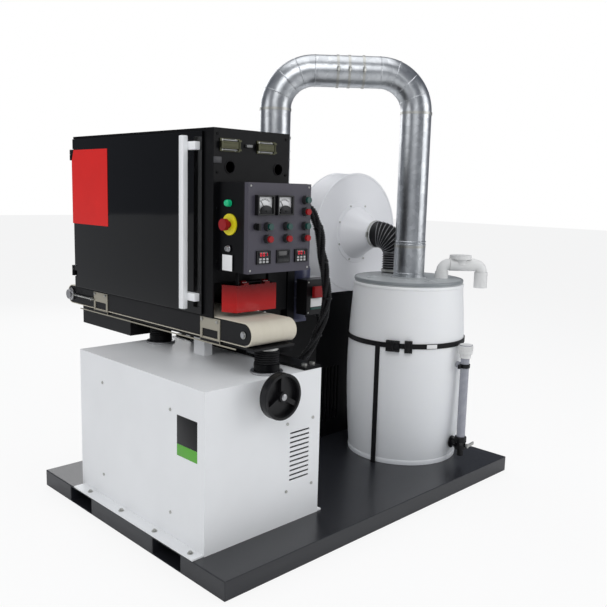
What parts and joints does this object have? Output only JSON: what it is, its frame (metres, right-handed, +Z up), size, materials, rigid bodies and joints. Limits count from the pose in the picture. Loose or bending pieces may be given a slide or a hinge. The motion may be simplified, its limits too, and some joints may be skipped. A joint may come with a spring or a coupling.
{
  "type": "conveyor fed sanding machine with dust collector",
  "caption": "Compact conveyor-fed belt sander on a skid, with a side door head, control enclosure, lifting feed table, blower, galvanised duct and wet collector drum.",
  "frame": {"origin": "centre of the skid on the floor", "axes": "+Z up, -Y towards the infeed side and operator, +X towards the collector drum"},
  "size_m": [1.828, 1.6332, 2.0185],
  "materials": {
    "white_paint": "satin powder coat",
    "charcoal_paint": "satin paint",
    "black_paint": "satin powder coat",
    "gloss_black": "high gloss",
    "panel_grey": "satin",
    "zinc": "zinc plated",
    "galvanised": "spangled galvanised sheet",
    "roller_steel": "machined",
    "bracket_tan": "passivated",
    "belt_cream": "woven rubber",
    "abrasive": "abrasive cloth",
    "motor_blue": "enamel",
    "black_plastic": "matte",
    "black_rubber": "matte",
    "red_plastic": "gloss",
    "green_plastic": "gloss",
    "guard_red": "clear red",
    "drum_white": "moulded polyethylene",
    "lid_grey": "moulded",
    "pvc_white": "smooth",
    "clear_tube": "clear"
  },
  "bodies": {
    "root": {"skid": "charcoal_paint", "base_cabinet": "white_paint", "front_cover": "white_paint", "screws": "zinc", "head_frame": "black_paint", "lift_jacks": "black_paint", "head_housing": "black_paint", "door_hinges": "black_paint", "latch_bases": "bracket_tan", "control_enclosure": "black_paint", "panel_lid": "panel_grey", "panel_meters": "black_plastic", "panel_displays": "black_plastic", "button_collars": "black_plastic", "signal_lamp": "green_plastic", "abrasive_belt": "abrasive", "sanding_frame": "bracket_tan", "wire_loom": "black_rubber", "collector_drum": "drum_white", "drum_lid": "lid_grey", "drum_strap": "black_rubber", "vent_pipe": "pvc_white", "sight_tube": "clear_tube", "blower_stand": "black_paint", "blower_scroll": "white_paint", "blower_motor": "motor_blue", "flex_hose": "black_rubber", "dust_duct": "galvanised", "duct_clamps": "zinc"},
    "feed_table": {"lift_rams": "zinc", "table_post": "white_paint", "conveyor_bed": "black_paint", "feed_belt": "belt_cream", "take_up_plates": "bracket_tan", "feed_gearmotor": "motor_blue", "switch_box": "black_plastic"},
    "handwheel": {"handwheel": "black_plastic"},
    "front_roller": {"front_roller": "roller_steel"},
    "rear_roller": {"rear_roller": "roller_steel"},
    "stop_paddle": {"stop_paddle": "red_plastic"},
    "side_door": {"side_door": "gloss_black"},
    "left_latch_lever": {"left_latch_lever": "bracket_tan"},
    "right_latch_lever": {"right_latch_lever": "bracket_tan"},
    "infeed_guard": {"infeed_guard": "guard_red"},
    "meter_needle_1": {"meter_needle_1": "black_plastic"},
    "meter_needle_2": {"meter_needle_2": "black_plastic"},
    "button_1": {"button_1": "green_plastic"},
    "button_2": {"button_2": "red_plastic"},
    "button_3": {"button_3": "green_plastic"},
    "button_4": {"button_4": "red_plastic"},
    "button_5": {"button_5": "green_plastic"},
    "button_6": {"button_6": "red_plastic"},
    "button_7": {"button_7": "green_plastic"},
    "button_8": {"button_8": "red_plastic"},
    "selector_knob": {"selector_knob": "black_plastic"},
    "emergency_stop": {"emergency_stop": "red_plastic"},
    "contact_drum": {"contact_drum": "black_rubber"},
    "tension_roller": {"tension_roller": "roller_steel"},
    "drain_handle": {"drain_handle": "zinc"},
    "blower_impeller": {"blower_impeller": "roller_steel"}
  },
  "joints": [
    {"name": "table_lift", "type": "slide", "parent": "root", "child": "feed_table", "axis": [0, 0, 1], "range_m": [-0.05, 0]},
    {"name": "handwheel_turn", "type": "hinge", "parent": "root", "child": "handwheel", "pos_m": [-0.569, -0.549, 0.631], "axis": [0, 1, 0], "range_deg": [-3600, 0]},
    {"name": "front_roller_spin", "type": "hinge", "parent": "feed_table", "child": "front_roller", "pos_m": [-0.612, -0.396, 0.8363], "axis": [1, 0, 0], "continuous": true},
    {"name": "rear_roller_spin", "type": "hinge", "parent": "feed_table", "child": "rear_roller", "pos_m": [-0.612, 0.93, 0.8363], "axis": [1, 0, 0], "continuous": true},
    {"name": "stop_paddle_press", "type": "slide", "parent": "feed_table", "child": "stop_paddle", "axis": [0, 1, 0], "range_m": [0, 0.004], "stiffness_N_per_m": 400},
    {"name": "side_door_swing", "type": "hinge", "parent": "root", "child": "side_door", "pos_m": [-0.628, 0.876, 0], "axis": [0, 0, -1], "range_deg": [0, 105]},
    {"name": "left_latch_lift", "type": "hinge", "parent": "root", "child": "left_latch_lever", "pos_m": [-0.508, -0.232, 1.5346], "axis": [0, 0, 1], "range_deg": [0, 120]},
    {"name": "right_latch_lift", "type": "hinge", "parent": "root", "child": "right_latch_lever", "pos_m": [-0.326, -0.232, 1.5346], "axis": [0, 0, 1], "range_deg": [0, 120]},
    {"name": "infeed_guard_lift", "type": "hinge", "parent": "root", "child": "infeed_guard", "pos_m": [-0.594, -0.28, 1.0146], "axis": [-1, 0, 0], "range_deg": [0, 25]},
    {"name": "meter_needle_1_swing", "type": "hinge", "parent": "root", "child": "meter_needle_1", "pos_m": [-0.526, -0.405, 1.3006], "axis": [0, 1, 0], "range_deg": [0, 70]},
    {"name": "meter_needle_2_swing", "type": "hinge", "parent": "root", "child": "meter_needle_2", "pos_m": [-0.428, -0.405, 1.3006], "axis": [0, 1, 0], "range_deg": [0, 70]},
    {"name": "emergency_stop_press", "type": "slide", "parent": "root", "child": "emergency_stop", "axis": [1, 0, 0], "range_m": [0, 0.006], "stiffness_N_per_m": 900},
    {"name": "selector_turn", "type": "hinge", "parent": "root", "child": "selector_knob", "pos_m": [-0.56, -0.395, 1.2356], "axis": [0, 1, 0], "range_deg": [-45, 45]},
    {"name": "button_1_press", "type": "slide", "parent": "root", "child": "button_1", "axis": [0, 1, 0], "range_m": [0, 0.004], "stiffness_N_per_m": 400},
    {"name": "button_2_press", "type": "slide", "parent": "root", "child": "button_2", "axis": [0, 1, 0], "range_m": [0, 0.004], "stiffness_N_per_m": 400},
    {"name": "button_3_press", "type": "slide", "parent": "root", "child": "button_3", "axis": [0, 1, 0], "range_m": [0, 0.004], "stiffness_N_per_m": 400},
    {"name": "button_4_press", "type": "slide", "parent": "root", "child": "button_4", "axis": [0, 1, 0], "range_m": [0, 0.004], "stiffness_N_per_m": 400},
    {"name": "button_5_press", "type": "slide", "parent": "root", "child": "button_5", "axis": [0, 1, 0], "range_m": [0, 0.004], "stiffness_N_per_m": 400},
    {"name": "button_6_press", "type": "slide", "parent": "root", "child": "button_6", "axis": [0, 1, 0], "range_m": [0, 0.004], "stiffness_N_per_m": 400},
    {"name": "button_7_press", "type": "slide", "parent": "root", "child": "button_7", "axis": [0, 1, 0], "range_m": [0, 0.004], "stiffness_N_per_m": 400},
    {"name": "button_8_press", "type": "slide", "parent": "root", "child": "button_8", "axis": [0, 1, 0], "range_m": [0, 0.004], "stiffness_N_per_m": 400},
    {"name": "contact_drum_spin", "type": "hinge", "parent": "root", "child": "contact_drum", "pos_m": [-0.612, 0.324, 0.9709], "axis": [1, 0, 0], "continuous": true},
    {"name": "tension_roller_spin", "type": "hinge", "parent": "root", "child": "tension_roller", "pos_m": [-0.612, 0.324, 1.4009], "axis": [1, 0, 0], "continuous": true},
    {"name": "drain_handle_turn", "type": "hinge", "parent": "root", "child": "drain_handle", "pos_m": [0.6527, -0.54451, 0.163], "axis": [0.1219, -0.9925, 0], "range_deg": [0, 90]},
    {"name": "impeller_spin", "type": "hinge", "parent": "root", "child": "blower_impeller", "pos_m": [0.62, 0.15, 1.159], "axis": [0, 1, 0], "continuous": true}
  ],
  "couplings": [
    {"joint": "handwheel_turn", "follows": "table_lift", "rad_per_m": 1256.6},
    {"joint": "rear_roller_spin", "follows": "front_roller_spin", "ratio": 1},
    {"joint": "tension_roller_spin", "follows": "contact_drum_spin", "ratio": 1.3636}
  ]
}
